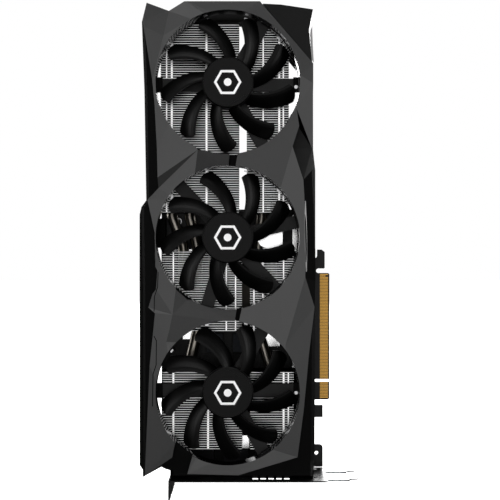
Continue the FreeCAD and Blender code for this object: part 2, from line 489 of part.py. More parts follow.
headers, clear = [], []
wheel = rotor("any")
badge = rod(HUB - 1.0, 0, 0, CAP - 0.35, CAP + 0.05)
for angle in (180.0, 60.0, -60.0):
    side = box(0.78 * HUB, HUB, CAP - 0.12, CAP + 1, -HUB, HUB)
    side.rotate(V(0, 0, 0), V(0, -1, 0), angle)
    badge = badge.cut(side)
for name, z, turn, arms, lead in FANS:
    for label, shape in (("rotor", wheel), ("badge", badge),
                         ("magnet", tube(HUB - 1.8, HUB - 3.0, 0, 0, ROOT + 0.6, CAP - 2.6)),
                         ("shaft", rod(P["shaft_radius"], 0, 0, ROOT - 2.4, CAP - 2.0))):
        one = shape.copy()
        one.rotate(V(0, 0, 0), V(0, -1, 0), turn)
        one.translate(V(FX, 0, z))
        add("fan_%s_%s" % (name, label), one)
    # fixed half: motor base, arms, bearing, coils
    base = [rod(HUB - 0.6, FX, z, ARM0, ARM1), rod(4.4, FX, z, ARM0, ARM1 + 0.4)]
    w = P["arm_width"] / 2.0
    for angle in list(arms) + [lead]:
        foot = RING + (5.8 if angle != lead else 0.0)
        arm = box(HUB - 4, foot, ARM0, ARM1, -w, w)
        arm.rotate(V(0, 0, 0), V(0, -1, 0), angle)
        arm.translate(V(FX, 0, z))
        base.append(arm)
    lead_slot = fuse([box(4.6, RING + 8, ARM0 - 1, ARM0 + 0.9, -1.6, 1.6),
                      box(4.6, 6.8, ARM0 - 1, ARM1 + 1, -1.6, 1.6)])
    lead_slot.rotate(V(0, 0, 0), V(0, -1, 0), lead)
    lead_slot.translate(V(FX, 0, z))
    holes = [rod(1.15, x, zz, 20, 40) for n, x, zz in screws if n == name]
    holes.append(rod(P["shaft_radius"] + 1.4, FX, z, ARM0 + 0.6, 40))
    base = fuse(base).common(slab(inset(EDGE, W + 0.5), 20, 40))
    add("fan_%s_mount" % name, cut(base, holes + [lead_slot]))
    add("fan_%s_bearing" % name,
        tube(P["shaft_radius"] + 1.4, P["shaft_radius"] + P["shaft_gap"], FX, z,
             ARM0 + 0.6, CAP - 3.2))
    poles = [tube(4.6, P["shaft_radius"] + 1.4, FX, z, ARM1 + 1.2, CAP - 4.6)]
    for i in range(6):
        pole = box(4.2, HUB - 3.8, ARM1 + 2.0, CAP - 5.0, -1.5, 1.5)
        pole.rotate(V(0, 0, 0), V(0, -1, 0), 60.0 * i)
        pole.translate(V(FX, 0, z))
        poles.append(pole)
    stator = fuse(poles).cut(rod(P["shaft_radius"] + 1.4, FX, z, 20, 50))
    add("fan_%s_stator" % name, stator)
    wire = fuse([box(4.8, RING + 2, ARM0 + 0.1, ARM0 + 0.8, -1.2, 1.2),
                 box(4.8, 6.4, ARM0 + 0.1, ARM1 + 0.9, -1.2, 1.2)])
    wire.rotate(V(0, 0, 0), V(0, -1, 0), lead)
    wire.translate(V(FX, 0, z))
    end_x = FX + (RING + 2) * math.cos(math.radians(lead))
    end_z = z + (RING + 2) * math.sin(math.radians(lead))
    plug_z = min(end_z, BZ1 - 6.0)
    run = [wire, box(end_x - 1.4, 35.0, ARM0 + 0.1, ARM0 + 0.8, end_z - 1.2, end_z + 1.2),
           box(34.0, 35.0, 4.9 if end_z > BZ1 else 2.0, ARM0 + 0.8, end_z - 1.2, end_z + 1.2)]
    if end_z > BZ1:
        run += [box(34.0, 35.0, 4.9, 7.3, plug_z - 1.2, end_z + 1.2),
                box(34.0, 35.0, 2.0, 7.3, plug_z - 1.2, plug_z + 1.2)]
    add("fan_%s_lead" % name, fuse(run))
    headers.append(box(32.6, 36.4, 0.0, 2.0, plug_z - 4.0, plug_z + 4.0))
    clear.append(box(32.0, 38.1, 2.9, 4.7, plug_z - 4.4, plug_z + 4.4))
add("fan_headers", Part.makeCompound(headers))
add("base_tray", cut(tray, clear))
add("fan_screws", Part.makeCompound(
    [fuse([rod(1.8, x, z, ARM0 - 0.5, ARM0), rod(0.98, x, z, ARM0 - 0.4, BASE - 2.4)])
     for name, x, z in screws]))

# ---- backplate and retention ------------------------------------------------
BK0 = BT + 2.0
BK1 = BK0 + P["backplate_thick"]
PLATE = along([(-46.0, 299.6), (-56.2, 290.6)]) + [(-56.2, BZ1 + 3.0), (-58.0, BZ1 + 1.0),
                                                   (-58.0, 12.0), (-50.0, 2.0), (38.0, 2.0),
                                                   (42.0, 20.0)]
PLATE += along([(42.0, 205.0), (40.5, 260.0), (9.0, 299.6)])
plate = slab(PLATE, -BK1, -BK0)
lip = slab(PLATE, -BK0, -0.2).cut(slab(inset(PLATE, 1.4), -BK0 - 1, 1))
lip = lip.common(box(-90, 90, -20, 20, BZ1 + 0.4, 400 * STRETCH))
VENT = [(-54.6, BZ1 + 1.6), (33.6, BZ1 + 1.6)] + along([(33.6, 264.1), (7.6, 295.2),
                                                        (-45.2, 295.2), (-54.6, 286.8)])
windows = [slab(VENT, -BK1 - 1, 0.1)]
windows.append(box(GX - 36, GX + 36, -BK1 - 1, 0, GZ - 36, GZ + 36))
windows += [rod(1.6, x, z, -BK1 - 1, 0) for x, z in HOLES]
add("backplate", cut(fuse([plate, lip]), windows))
posts = [tube(2.6, 1.6, x, z, -BK0, -BT) for x, z in HOLES]
add("backplate_spacers", Part.makeCompound(posts))
add("backplate_screws", Part.makeCompound(
    [fuse([rod(2.6, x, z, -BK1 - 0.9, -BK1), rod(1.5, x, z, -BK1 - 0.5, 2.6)])
     for x, z in HOLES]))
cross = [slab([(GX - 30, GZ - 22), (GX - 22, GZ - 30), (GX + 30, GZ + 22),
               (GX + 22, GZ + 30)], -BT - 2.4, -BT - 1.2),
         slab([(GX - 30, GZ + 22), (GX - 22, GZ + 30), (GX + 30, GZ - 22),
               (GX + 22, GZ - 30)], -BT - 2.4, -BT - 1.2),
         box(GX - 15, GX + 15, -BT - 2.4, -BT - 1.2, GZ - 15, GZ + 15)]
cross = cut(fuse(cross), [rod(1.6, x, z, -6, 0) for x, z in GPU_HOLES]
            + [rod(8, GX, GZ, -6, 0)])
add("retention_cross", cross)
add("spring_screws", Part.makeCompound(
    [fuse([rod(2.8, x, z, -BT - 4.2, -BT - 2.4), rod(1.5, x, z, -BT - 2.6, 2.4)])
     for x, z in GPU_HOLES]))

# ---- bracket, sockets and power input ------------------------------------------
HALF = P["bracket_flat"] / 2.0
DEEP = P["bracket_depth"]
T = P["bracket_thick"]
H0 = -2.9
H1 = H0 + DEEP
flat = [box(-HALF, HALF, H0, H1, 0, T)]
for h in (7.2, 27.5):
    flat.append(box(HALF - 0.5, 64.0, h - 5.0, h + 5.0, 0, T))
    flat.append(box(63.1, 64.0, h - 5.0, h + 5.0, 0, T + 0.4))
    tip = Part.makePolygon([V(63.1, -(h - 5.0), 0.4), V(63.1, -(h + 5.0), 0.4),
                            V(65.4, -(h + 3.2), 0.4), V(69.2, -(h + 2.6), 0.4),
                            V(70.0, -(h + 1.8), 0.4), V(70.0, -(h - 1.8), 0.4),
                            V(69.2, -(h - 2.6), 0.4), V(65.4, -(h - 3.2), 0.4),
                            V(63.1, -(h - 5.0), 0.4)])
    flat.append(Part.Face(tip).extrude(V(0, 0, T)))
flat.append(box(-HALF, -HALF + T, H0, H1, -11.4, T))
flat += [box(x, x + 5, -BT - 0.9, -BT, 0, 9.0) for x in (-46.0, 36.0)]
bracket = fuse(flat)
cuts = []
for i in range(15):
    cuts.append(box(-39.6 + i * 5.15, -35.9 + i * 5.15, 15.6, 22.0, -1, 2))
for i in range(5):
    cuts.append(box(2.8 + i * 5.0, 6.3 + i * 5.0, 25.0, 31.4, -1, 2))
cuts += [box(41.9, 45.4, 0.6, 4.8, -1, 2), box(41.9, 44.2, 25.0, 27.2, -1, 2)]
SOCKETS = [("hdmi", -30.0, 14.2, 5.4), ("dp_one", -8.0, 16.4, 5.4), ("dp_two", 12.6, 16.4, 5.4),
           ("dp_three", 33.2, 16.4, 5.4)]
for name, x, wide, tall in SOCKETS:
    cuts.append(box(x - wide / 2, x + wide / 2, 1.4, 1.4 + tall, -1, 2))
for h in (2.2, 22.52):                       # screw notches, one slot pitch apart
    cuts.append(fuse([box(-HALF - 1, -HALF + T + 1, h - 2.2, h + 2.2, -12, -7.0),
                      Part.makeCylinder(2.2, 4, V(-HALF - 1, -h, -7.0), V(1, 0, 0))]))
add("io_bracket", cut(bracket, cuts))
tongues = []
for name, x, wide, tall in SOCKETS:
    w = wide - 0.4
    shell = box(x - w / 2, x + w / 2, 1.6, 1.2 + tall, -0.6, 14.0)
    if name != "hdmi":                       # one clipped corner along the socket
        clip = Part.makePolygon([V(x - w / 2 - 1, -0.2 - tall, -1), V(x - w / 2 - 1, -3 - tall, -1),
                                 V(x - w / 2 + 1.8, -3 - tall, -1), V(x - w / 2 - 1, -0.2 - tall, -1)])
        shell = shell.cut(Part.Face(clip).extrude(V(0, 0, 20)))
    shell = fuse([shell, box(x - w / 2, x + w / 2, 0, 1.6, 2.0, 13.4)])
    inside = box(x - w / 2 + 0.4, x + w / 2 - 0.4, 2.0, 0.8 + tall, -1, 9.0)
    add("socket_" + name, shell.cut(inside))
    tongues.append(box(x - w / 2 + 2.4, x + w / 2 - 2.4, 3.3, 4.5, 0.4, 9.0))
add("socket_tongues", Part.makeCompound(tongues))

SZ = 156.5
plug = box(-66.0, -54.2, 0.0, 11.4, SZ - 9.6, SZ + 9.6)
pockets, pins = [], []
for row in range(2):
    for col in range(4):
        h = 3.4 + row * 5.2
        z = SZ - 6.9 + col * 4.6
        pockets.append(box(-67, -56.4, h - 1.95, h + 1.95, z - 1.95, z + 1.95))
        pins.append(box(-64.4, -55.0, h - 0.6, h + 0.6, z - 0.6, z + 0.6))
add("power_socket", cut(plug, pockets + [p.copy() for p in pins]))
add("power_pins", Part.makeCompound(pins))

# ---- check and write -----------------------------------------------------------
doc.recompute()
os.makedirs("parts", exist_ok=True)
bad = []
for obj in doc.Objects:
    if "Invalid" in obj.State or "Error" in obj.State:
        bad.append("%s state %s" % (obj.Label, obj.State))
for obj in PARTS:
    shape = obj.Shape
    if shape.isNull() or not shape.isValid() or not shape.Solids:
        bad.append("%s shape" % obj.Label)
    else:
        shape.exportStep("parts/%s.step" % obj.Label)
    print("%-22s solids %4d  volume %10.1f" % (obj.Label, len(shape.Solids), shape.Volume))
if bad:
    raise RuntimeError("bad parts: " + "; ".join(bad))
print("parts written:", len(PARTS))
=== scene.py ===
# %% [markdown]
# # A triple-fan graphics card
#
# The card's shape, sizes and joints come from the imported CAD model, the
# *frame*. This lesson gives that frame its looks: a camera, a bright studio,
# a procedural material for every part, and the small details that are easier
# to make here than in CAD. Each step has a few words on what the real thing
# is, how it could be made, and why this way was chosen.

# %% Load the frame
import math
import bmesh
import bpy
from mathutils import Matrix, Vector
from mathutils.bvhtree import BVHTree


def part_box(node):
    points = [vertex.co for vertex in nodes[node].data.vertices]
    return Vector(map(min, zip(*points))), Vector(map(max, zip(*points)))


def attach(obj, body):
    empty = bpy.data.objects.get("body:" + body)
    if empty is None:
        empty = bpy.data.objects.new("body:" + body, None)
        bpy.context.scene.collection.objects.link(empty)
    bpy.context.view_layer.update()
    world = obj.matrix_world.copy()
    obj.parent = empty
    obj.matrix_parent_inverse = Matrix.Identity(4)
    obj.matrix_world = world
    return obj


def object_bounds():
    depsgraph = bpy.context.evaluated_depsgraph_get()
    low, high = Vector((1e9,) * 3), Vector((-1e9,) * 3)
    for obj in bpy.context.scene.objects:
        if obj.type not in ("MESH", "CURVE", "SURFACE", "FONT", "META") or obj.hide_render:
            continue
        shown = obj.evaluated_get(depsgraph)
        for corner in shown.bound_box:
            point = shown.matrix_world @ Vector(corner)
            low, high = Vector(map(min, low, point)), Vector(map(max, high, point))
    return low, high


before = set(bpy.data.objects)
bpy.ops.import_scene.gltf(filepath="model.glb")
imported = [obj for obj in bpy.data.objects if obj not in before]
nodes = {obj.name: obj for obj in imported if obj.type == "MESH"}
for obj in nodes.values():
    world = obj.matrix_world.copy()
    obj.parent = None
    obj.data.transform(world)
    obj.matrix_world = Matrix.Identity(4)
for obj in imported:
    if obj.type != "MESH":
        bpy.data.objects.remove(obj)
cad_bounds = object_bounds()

MM = 0.001
scene = bpy.context.scene
low_corner, high_corner = (Vector(corner) for corner in cad_bounds)
print("CAD box, mm:", [round(v / MM, 1) for v in (*low_corner, *high_corner)])

# %% [markdown]
# ## Camera
#
# The card stands on its bracket end and is seen square-on from the fan side.
# A camera 600 mm from the board gives the gentle perspective of a product
# shot: the ring walls of the outer fans just show on the sides that face away
# from the middle. It looks level along +Y at half the card's height. The lens
# follows from the distance and from the width that the frame takes in there,
# so both can be read as real lengths.

# %% Camera
VIEW_DISTANCE = 600 * MM
VIEW_X, VIEW_Z = 1.2 * MM, 145.5 * MM
WIDTH_AT_BOARD = 332.65 * MM
SENSOR_WIDTH = 36.0

camera_data = bpy.data.cameras.new("camera")
camera_data.sensor_width = SENSOR_WIDTH
camera_data.lens = SENSOR_WIDTH * VIEW_DISTANCE / WIDTH_AT_BOARD
camera_data.clip_start, camera_data.clip_end = 0.01, 20.0
camera = bpy.data.objects.new("camera", camera_data)
scene.collection.objects.link(camera)
camera.location = (VIEW_X, -VIEW_DISTANCE, VIEW_Z)
camera.rotation_euler = (math.radians(90), 0, 0)
scene.camera = camera
print("lens:", round(camera_data.lens, 2), "mm")

# %% [markdown]
# ## Colours and nodes
#
# Colours are easiest to pick as the hex values of a colour picker, which are
# sRGB, while a shader wants linear light. One function turns one into the
# other. A second small function adds a node, sets its fields and wires its
# inputs, so that each material below reads as a list of steps.

# %% Colours and nodes
def linear(hex_text):
    """'#rrggbb' in sRGB to a linear RGBA tuple."""
    parts = [int(hex_text[i:i + 2], 16) / 255 for i in (1, 3, 5)]
    return tuple(c / 12.92 if c <= 0.04045 else ((c + 0.055) / 1.055) ** 2.4
                 for c in parts) + (1.0,)


def add_node(tree, kind, values=None, links=None, **fields):
    """A node with its fields set, its inputs given values and its inputs wired."""
    node = tree.nodes.new(kind)
    for name, value in fields.items():
        setattr(node, name, value)
    for name, value in (values or {}).items():
        node.inputs[name].default_value = value
    for name, source in (links or {}).items():
        tree.links.new(source, node.inputs[name])
    return node


print("a mid grey in linear light:", round(linear("#808080")[0], 3))

# %% [markdown]
# ## One recipe for a worked surface
#
# Every part here is moulded, rolled, stamped or plated, and each of those
# leaves a fine grain. The recipe is a Principled shader, a noise whose grain
# is given in millimetres, a bump from that noise, and a roughness that
# wanders a little with it. Real mould grain is 0.02 to 0.1 mm, too fine to
# show at this distance, so it is drawn about 0.5 mm wide and very shallow.

# %% The recipe
NOISE_LOW, NOISE_HIGH = 0.3, 0.7          # where most of the noise's values lie


def surface(name, settings, roughness, spread, grain_mm, depth_mm, strength):
    """A Principled material with a fine grain and a roughness that follows it."""
    material = bpy.data.materials.new(name)
    material.use_nodes = True
    tree = material.node_tree
    tree.nodes.clear()
    place = add_node(tree, "ShaderNodeTexCoord")
    noise = add_node(tree, "ShaderNodeTexNoise",
                     {"Scale": 1.0 / (grain_mm * MM), "Detail": 3.0},
                     {"Vector": place.outputs["Object"]})
    bump = add_node(tree, "ShaderNodeBump",
                    {"Strength": strength, "Distance": depth_mm * MM},
                    {"Height": noise.outputs["Fac"]})
    wander = add_node(tree, "ShaderNodeMapRange",
                      {"From Min": NOISE_LOW, "From Max": NOISE_HIGH,
                       "To Min": roughness - spread, "To Max": roughness + spread},
                      {"Value": noise.outputs["Fac"]})
    shader = add_node(tree, "ShaderNodeBsdfPrincipled", {**settings, "Roughness": roughness},
                      {"Roughness": wander.outputs["Result"],
                       "Normal": bump.outputs["Normal"]})
    add_node(tree, "ShaderNodeOutputMaterial", None, {"Surface": shader.outputs["BSDF"]})
    return material


def moulded(name, colour, roughness, grain_mm, depth_mm, specular=0.5, spread=0.04):
    """Moulded plastic, paint or epoxy. A low specular level stands for a matt mould."""
    settings = {"Base Color": linear(colour), "Specular IOR Level": specular}
    return surface(name, settings, roughness, spread, grain_mm, depth_mm, 0.4)


def metal(name, colour, roughness, grain_mm, depth_mm, spread=0.05):
    """Bare or plated metal. The IOR stays at its default, as metals need."""
    settings = {"Base Color": linear(colour), "Metallic": 1.0}
    return surface(name, settings, roughness, spread, grain_mm, depth_mm, 0.3)


def dress(material, *names):
    """Give CAD nodes a material in place of the one they came with."""
    for name in names:
        mesh = nodes[name].data
        mesh.materials.clear()
        mesh.materials.append(material)
    print(material.name, "->", ", ".join(names))


def nodes_ending(ending):
    """The CAD nodes of the three fans that share an ending, such as _rotor."""
    return [name for name in nodes if name.endswith(ending)]


print("recipes ready")

# %% [markdown]
# ## Choosing single faces
#
# A real part often has two finishes: a sheared edge on a rolled sheet, a
# polished wall on a grained moulding. The CAD mesh stays as it is, and a
# second material goes on the faces that pass a test of their centre and
# their normal.

# %% Faces that pass a test
def repaint(name, material, test):
    """Give a CAD node a second material on the faces that pass a test."""
    piece = nodes[name]
    matrix = piece.matrix_world
    turn = matrix.to_3x3()
    piece.data.materials.append(material)
    index = len(piece.data.materials) - 1
    count = 0
    for polygon in piece.data.polygons:
        if test(matrix @ polygon.center, (turn @ polygon.normal).normalized()):
            polygon.material_index = index
            count += 1
    print(material.name, "on", count, "faces of", name)


def inside(point, outline):
    """Even-odd test of a point against a closed outline."""
    x, z = point
    hit = False
    for (ax, az), (bx, bz) in zip(outline, outline[1:] + outline[:1]):
        if (az > z) != (bz > z) and x < ax + (z - az) / (bz - az) * (bx - ax):
            hit = not hit
    return hit


bpy.context.view_layer.update()
print("a point inside a square:", inside((1, 1), [(0, 0), (2, 0), (2, 2), (0, 2)]))

# %% [markdown]
# ## World and floor
#
# Black plastic on a white ground needs two lightings at once. The ground is
# white to the eye, but if black parts mirrored that white they would turn
# grey. So the world is white only where the camera looks straight at it, and
# dim everywhere else. The floor is pale and plain and glows a little, so that
# it meets the world without a line.

# %% World
WORLD_FILL = 0.07

world = bpy.data.worlds.new("studio")
world.use_nodes = True
scene.world = world
sky = world.node_tree
sky.nodes.clear()
path = add_node(sky, "ShaderNodeLightPath")
fill = add_node(sky, "ShaderNodeBackground",
                {"Color": linear("#ffffff"), "Strength": WORLD_FILL})
seen = add_node(sky, "ShaderNodeBackground", {"Color": linear("#ffffff"), "Strength": 1.0})
blend = add_node(sky, "ShaderNodeMixShader", None,
                 {0: path.outputs["Is Camera Ray"], 1: fill.outputs[0], 2: seen.outputs[0]})
add_node(sky, "ShaderNodeOutputWorld", None, {"Surface": blend.outputs[0]})
scene.view_settings.view_transform = "Standard"
scene.view_settings.look = "None"
print("world fill:", WORLD_FILL)

# %% [markdown]
# The floor is a matt white paint on a large plane, half a millimetre below
# the card. It is kept out of the diffuse and mirror rays, so that it throws no
# light back up onto the black plastic.

# %% Floor
FLOOR_SIZE = 8.0
FLOOR_GAP = 0.5 * MM

floor_paint = bpy.data.materials.new("floor_white")
floor_paint.use_nodes = True
paint_tree = floor_paint.node_tree
paint_tree.nodes.clear()
paint_shader = add_node(paint_tree, "ShaderNodeBsdfPrincipled", {
    "Base Color": linear("#f4f4f4"), "Roughness": 0.9,
    "Emission Color": linear("#ffffff"), "Emission Strength": 1.0})
add_node(paint_tree, "ShaderNodeOutputMaterial", None,
         {"Surface": paint_shader.outputs["BSDF"]})

bpy.ops.mesh.primitive_plane_add(size=FLOOR_SIZE, location=(0, 0, low_corner.z - FLOOR_GAP))
floor = bpy.context.object
floor.name = "floor"
floor.data.materials.append(floor_paint)
floor.visible_diffuse = False
floor.visible_glossy = False
print("floor at", round(floor.location.z / MM, 1), "mm")

# %% [markdown]
# ## Lights
#
# The shape of the parts comes from large softboxes. One faces the card and
# sets the greys of the facets. Two at the sides and one above light the facets
# that lean their way. Two more stand behind the card's plane: they cannot
# reach the front, and keep the long black sides readable. The last one lights
# the back.

# %% Lights
def soft_light(name, place, width, height, watts):
    """A rectangular softbox aimed at the middle of the card."""
    data = bpy.data.lights.new(name, "AREA")
    data.shape, data.size, data.size_y, data.energy = "RECTANGLE", width, height, watts
    lamp = bpy.data.objects.new(name, data)
    scene.collection.objects.link(lamp)
    lamp.location = place
    aim = (low_corner + high_corner) / 2 - Vector(place)
    lamp.rotation_euler = aim.to_track_quat("-Z", "Y").to_euler()
    lamp.visible_camera = False
    print(name, "%.1f W, %.1f m away" % (watts, aim.length))


soft_light("front", (0.0, -1.7, 0.2), 1.4, 1.5, 9.5)
soft_light("key_left", (-1.5, -0.75, 0.5), 0.8, 1.0, 13)
soft_light("key_right", (1.5, -0.75, 0.3), 0.8, 1.0, 16)
soft_light("top", (0.0, -0.7, 1.6), 1.4, 0.8, 13)
soft_light("back", (0.4, 1.6, 0.9), 1.6, 1.0, 45)
soft_light("side_left", (-1.8, 0.8, 0.5), 1.0, 1.2, 14)
soft_light("side_right", (1.8, 0.8, 0.5), 1.0, 1.2, 14)

# %% [markdown]
# ## Face panels
#
# The two faceted panels are injection-moulded ABS, dyed dark grey. The greys
# of their facets are painted shade: a facet that the light would leave darker
# gets a darker copy of the panel material, so that neighbours read as different
# greys even in flat light, and a few facets that face down get a lighter copy,
# a painted light. Each step of painted shade is darker and rougher than the
# last. Facets turned away to the side are painted black as shade.

# %% Panel tones: painted shade and painted light
panel_painted_light = moulded("panel_abs_painted_light", "#4c4c4c", 0.46, 0.5, 0.006)
panel_satin = moulded("panel_abs_satin", "#383838", 0.46, 0.5, 0.006)
panel_shade_faint = moulded("panel_abs_painted_shade_faint", "#2f2f2f", 0.50, 0.5, 0.007)
panel_shade_mid = moulded("panel_abs_painted_shade_mid", "#292929", 0.52, 0.6, 0.008)
panel_shade_strong = moulded("panel_abs_painted_shade_strong", "#1f1f1f", 0.55, 0.7, 0.010)
panel_shade_deep = moulded("panel_abs_painted_shade_deep", "#161616", 0.60, 0.8, 0.012, 0.4)
panel_shade_dark = moulded("panel_abs_painted_shade_dark", "#090909", 0.60, 0.8, 0.012, 0.18)
panel_shade_black = moulded("panel_abs_painted_shade_black", "#010101", 0.60, 0.6, 0.010, 0.02)
print("panel finishes made")

# %% [markdown]
# Each group of facets is an outline in millimetres, x and z, drawn along the
# creases that part it from its neighbours. A facet gets the painted shade of the
# group that holds its centre, and stays satin where no group does. The rims
# and the backs of the panels are painted black as shade.

# %% Facet groups
# each outline with its painted shade or painted light, for the left and the right panel
LEFT_PAINTED_SHADES = [
    (panel_shade_strong, [(-63.3, 299.8), (-66.2, 289.2), (-65.2, 284.9), (-59.7, 251.6),
                    (-52.4, 278.6), (-49.2, 294.0)]),
    (panel_shade_faint, [(-49.2, 294.0), (-52.4, 278.6), (-35.3, 288.8)]),
    (panel_shade_deep, [(-31.2, 207.6), (-56.2, 190.6), (-55.8, 184.0)]),
    (panel_shade_deep, [(-31.2, 207.6), (-11.5, 206.5), (-12.4, 196.0), (-33.0, 193.8)]),
    (panel_shade_strong, [(-44.8, 121.0), (-37.7, 114.6), (-46.9, 105.4)]),
    (panel_shade_strong, [(-37.7, 114.6), (-6.8, 110.5), (-8.4, 100.5), (-36.0, 88.0),
                    (-50.8, 88.4), (-48.8, 95.8), (-46.9, 105.4)]),
    (panel_shade_mid, [(-61.4, 73.0), (-44.0, 36.0), (-45.2, 26.2), (-47.2, 16.5), (-64.6, 4.1)]),
]
RIGHT_PAINTED_SHADES = [
    (panel_shade_strong, [(-37.9, 300.4), (7.4, 300.4), (9.0, 298.4), (40.6, 261.7), (40.6, 249.3),
                    (32.4, 254.0), (20.0, 270.0), (-12.0, 288.0), (-23.9, 290.0)]),
    (panel_painted_light, [(30.8, 16.5), (36.0, 4.0), (34.0, 0.0), (-50.0, 0.0), (-50.0, 12.0),
                   (8.0, 24.0)]),
    (panel_shade_mid, [(30.1, 233.5), (31.7, 222.4), (27.6, 209.8), (20.3, 184.2), (-8.1, 196.0),
                    (-6.2, 206.5), (15.0, 225.0)]),
    (panel_shade_faint, [(35.5, 128.6), (41.4, 110.0), (37.9, 80.6), (34.7, 46.2), (30.8, 16.5),
                  (8.0, 24.0), (22.0, 42.0), (24.0, 70.0), (23.2, 86.5)]),
    (panel_shade_dark, [(31.7, 222.4), (27.6, 209.8), (34.3, 189.0), (39.9, 195.3), (39.9, 208.6)]),
    (panel_shade_black, [(34.3, 189.0), (39.9, 195.3), (42.2, 145.0), (42.2, 126.0), (41.4, 110.0),
                   (35.5, 128.6), (35.9, 145.5), (34.9, 179.9)]),
    (panel_shade_black, [(30.1, 233.5), (31.7, 222.4), (39.9, 208.6)]),
]
FACING = -0.5                             # a facet looks to the front below this normal.y

for name, groups in (("face_panel_left", LEFT_PAINTED_SHADES), ("face_panel_right", RIGHT_PAINTED_SHADES)):
    dress(panel_satin, name)
    # painted shade: rims and backs that turn away from the front are black
    repaint(name, panel_shade_black, lambda centre, normal: normal.y > FACING)
    for painted_tone, outline in groups:
        repaint(name, painted_tone, lambda centre, normal: normal.y <= FACING and inside(
            (centre.x / MM, centre.z / MM), outline))

# %% [markdown]
# ## Black mouldings
#
# The tub behind the panels, the corner piece, the sockets and the left flank
# are ABS dyed black through and through. Black plastic shows its shape only
# by the light it mirrors, so the parts that should sink away have a low
# specular level, and the long outer sides keep a normal one and get a lighter
# grey colour, a painted light. The chamfers between the two are painted black
# as shade.

# %% Shroud tub and corner
frame_abs = moulded("frame_abs", "#020202", 0.5, 0.5, 0.008, 0.05)
dress(frame_abs, "shroud_frame", "flank_left", "fan_headers", "power_socket", "socket_tongues")
# the corner piece has a smoother mould and keeps a long, soft highlight
tail_abs = moulded("tail_abs", "#050505", 0.42, 1.0, 0.006, 0.15)
dress(tail_abs, "tail_cover")

# the outer sides mirror the lamps behind, and their dark grey colour, lighter than the black
# of the tub, is painted light
side_abs_painted_light = moulded("side_abs_painted_light", "#161616", 0.42, 0.6, 0.008, 0.4)
repaint("shroud_frame", side_abs_painted_light, lambda centre, normal: abs(normal.y) < 0.08)
# painted shade: the chamfers that turn to the side are black
repaint("shroud_frame", panel_shade_black, lambda centre, normal: (
    normal.y < -0.3 and abs(normal.x) > 0.5))
repaint("tail_cover", side_abs_painted_light, lambda centre, normal: abs(normal.y) < 0.5)

# %% [markdown]
# The fans are glass-filled PBT, stiff enough to hold a thin blade, with a
# slight sheen along each blade's crown. The arms that carry them are nylon,
# matt and a step lighter. Each hub has a flat printed film.

# %% Fans
fan_pbt = moulded("fan_pbt", "#030303", 0.40, 0.6, 0.006, 0.11)
dress(fan_pbt, *nodes_ending("_rotor"))
badge_film = moulded("badge_film", "#090909", 0.5, 0.4, 0.004, 0.12)
dress(badge_film, *nodes_ending("_badge"))
arm_nylon = moulded("arm_nylon", "#232323", 0.6, 0.6, 0.010, 0.2)
dress(arm_nylon, *nodes_ending("_mount"))

# %% [markdown]
# The walls of the fan openings come from polished steel cores in the mould,
# so they are the one glossy black on the card. Their faces are found by
# their distance from the fan's axis, which is the middle of its badge.

# %% Walls of the openings
FANS = ("top", "middle", "bottom")
RING = 44.9 * MM                          # radius of the openings

FAN_AXES = {}
for fan in FANS:
    badge_low, badge_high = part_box("fan_%s_badge" % fan)
    FAN_AXES[fan] = ((badge_low.x + badge_high.x) / 2, (badge_low.z + badge_high.z) / 2)


def on_ring_wall(centre, normal):
    """True on the inner wall of one of the three openings."""
    return abs(normal.y) < 0.3 and any(
        abs(math.hypot(centre.x - x, centre.z - z) - RING) < 0.4 * MM
        for x, z in FAN_AXES.values())


gloss_abs = moulded("gloss_abs", "#020202", 0.14, 3.0, 0.002, 0.6, 0.02)
for name in ("shroud_frame", "face_panel_left", "face_panel_right"):
    repaint(name, gloss_abs, on_ring_wall)

# %% [markdown]
# ## Fins
#
# The fins are stamped from thin rolled aluminium. From the front only their
# sheared edges and the folded tabs catch the light. The rolled faces lie in
# deep, narrow gaps and show only each other, so their shade is painted: they
# are drawn dark, and a black specular tint stops them from mirroring the room
# at a flat angle. The tabs sit a little behind the edges, and that depth picks
# out their faces; they are drawn whiter than the edges, a painted highlight.

# %% Fins
# painted shade: the rolled faces are near-black metal with a black specular tint
fin_sheet_painted_shade = metal("fin_rolled_aluminium_painted_shade", "#101011", 0.55, 1.5, 0.003)
fin_sheet_painted_shade.node_tree.nodes["Principled BSDF"].inputs["Specular Tint"].default_value = (
    linear("#000000"))
fin_edge = metal("fin_sheared_edge", "#d8d8d8", 0.42, 0.8, 0.003)
# painted highlight: the folded tabs are whiter than the sheared edges
fin_fold_painted_highlight = metal("fin_fold_painted_highlight", "#fcfcfc", 0.36, 0.8, 0.003)
FOLD_NEAR, FOLD_FAR = 0.15 * MM, 1.2 * MM  # how far the tabs lie behind the edges

fin_zones = []
for name in ("fins_upper", "fins_middle", "fins_lower"):
    dress(fin_sheet_painted_shade, name)
    stack_low, stack_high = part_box(name)
    front = stack_low.y
    fin_zones.append((stack_low.z, stack_high.z))
    repaint(name, fin_edge, lambda centre, normal: abs(normal.y) > 0.9)
    repaint(name, fin_fold_painted_highlight, lambda centre, normal: normal.y < -0.9
            and front + FOLD_NEAR < centre.y < front + FOLD_FAR)
print("fin stacks, mm:", [(round(a / MM, 1), round(b / MM, 1)) for a, b in fin_zones])

# %% [markdown]
# ## Tray, pipes and plates
#
# The tray under the fins is a polished aluminium sheet. Between the stacks it
# is bare and bright. Under a stack it lies in shadow, and that shade is painted
# into its colour as a near-black grey.
# One material draws both: each stack's height range is turned into a 0 or 1
# by the distance from its middle, and the largest of the three picks the tone.

